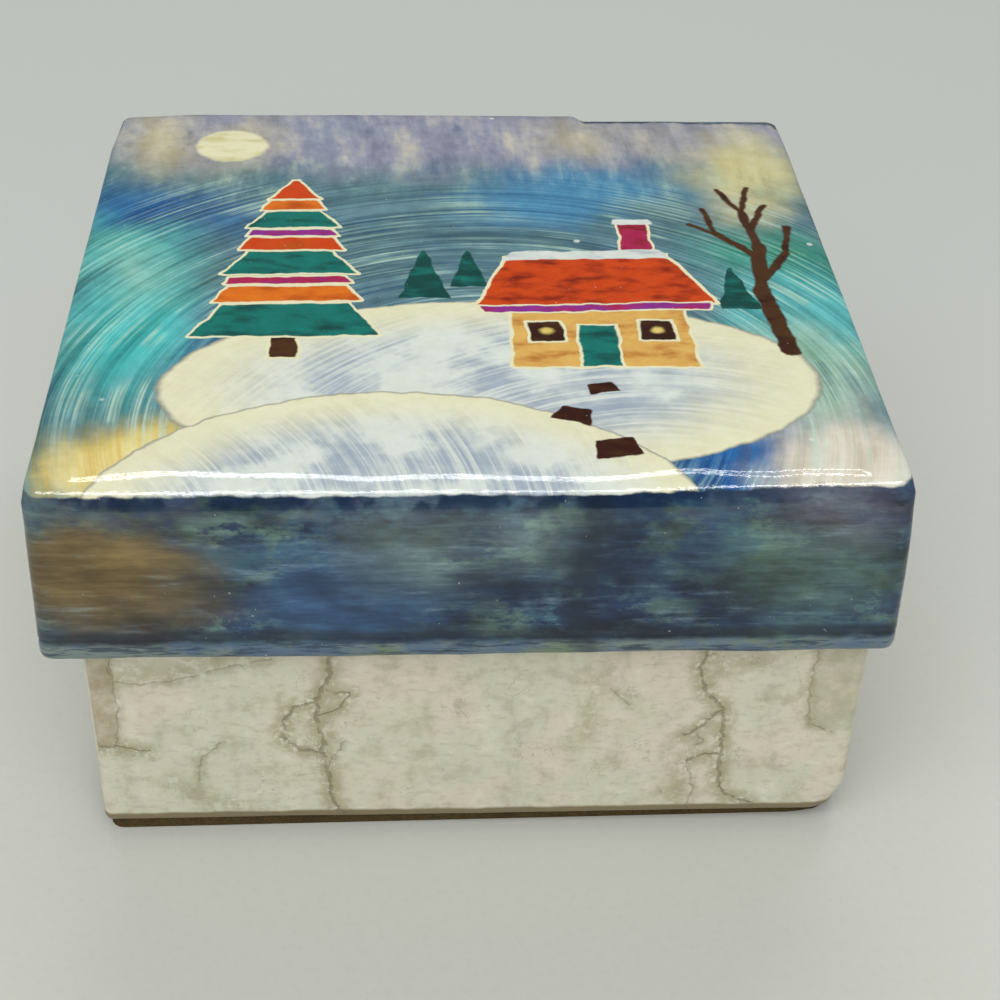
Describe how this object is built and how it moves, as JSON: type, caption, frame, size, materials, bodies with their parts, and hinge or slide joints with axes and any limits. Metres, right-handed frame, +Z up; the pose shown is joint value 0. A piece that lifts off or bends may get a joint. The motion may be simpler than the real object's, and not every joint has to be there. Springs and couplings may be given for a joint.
{
  "type": "trinket box",
  "caption": "Square trinket box of laminated capiz shell: a natural shell tray with a painted, lacquered lift-off lid whose flared sides slip down over it.",
  "frame": {"origin": "centre of the bounding box, at the underside of the pad that the box stands on", "axes": "+Z up, -Y the front side that the picture shows, +X to the right of it"},
  "size_m": [0.1028, 0.1028, 0.055],
  "materials": {
    "natural_shell": "satin cream capiz shell, mottled, with olive-brown seams",
    "corner_shell": "satin capiz strips, a little darker",
    "lining_shell": "pearly capiz lining",
    "painted_top": "painted capiz under gloss lacquer, blue, teal and cream washes",
    "painted_side": "brushed slate-blue, green-grey and ochre wash under satin lacquer",
    "painted_rim": "grey-blue painted shell band",
    "brown_felt": "dark olive-brown felt"
  },
  "bodies": {
    "tray": {"base_back_left_plate": "natural_shell", "base_back_mid_plate": "natural_shell", "base_back_right_plate": "natural_shell", "base_bottom_plate": "natural_shell", "base_corner_back_left": "corner_shell", "base_corner_back_right": "corner_shell", "base_corner_front_left": "corner_shell", "base_corner_front_right": "corner_shell", "base_floor_lining": "lining_shell", "base_front_chip": "natural_shell", "base_front_left_plate": "natural_shell", "base_front_mid_plate": "natural_shell", "base_front_right_plate": "natural_shell", "base_front_sliver": "natural_shell", "base_left_left_plate": "natural_shell", "base_left_mid_plate": "natural_shell", "base_left_right_plate": "natural_shell", "base_lining_back": "lining_shell", "base_lining_front": "lining_shell", "base_lining_left": "lining_shell", "base_lining_right": "lining_shell", "base_pad": "brown_felt", "base_right_left_plate": "natural_shell", "base_right_mid_plate": "natural_shell", "base_right_right_plate": "natural_shell"},
    "lid": {"lid_back_left_plate": "painted_side", "lid_back_right_plate": "painted_side", "lid_corner_back_left": "painted_side", "lid_corner_back_right": "painted_side", "lid_corner_front_left": "painted_side", "lid_corner_front_right": "painted_side", "lid_edge_back": "painted_top", "lid_edge_front": "painted_top", "lid_edge_left": "painted_top", "lid_edge_right": "painted_top", "lid_front_left_plate": "painted_side", "lid_front_right_plate": "painted_side", "lid_left_left_plate": "painted_side", "lid_left_right_plate": "painted_side", "lid_lining_back": "lining_shell", "lid_lining_front": "lining_shell", "lid_lining_left": "lining_shell", "lid_lining_right": "lining_shell", "lid_right_left_plate": "painted_side", "lid_right_right_plate": "painted_side", "lid_rim_back": "painted_rim", "lid_rim_front": "painted_rim", "lid_rim_left": "painted_rim", "lid_rim_right": "painted_rim", "lid_top_left_plate": "painted_top", "lid_top_lining": "lining_shell", "lid_top_right_plate": "painted_top"}
  },
  "joints": [
    {"name": "lid_lift", "type": "slide", "parent": "tray", "child": "lid", "axis": [0, 0, 1], "range_m": [0, 0.06]}
  ]
}
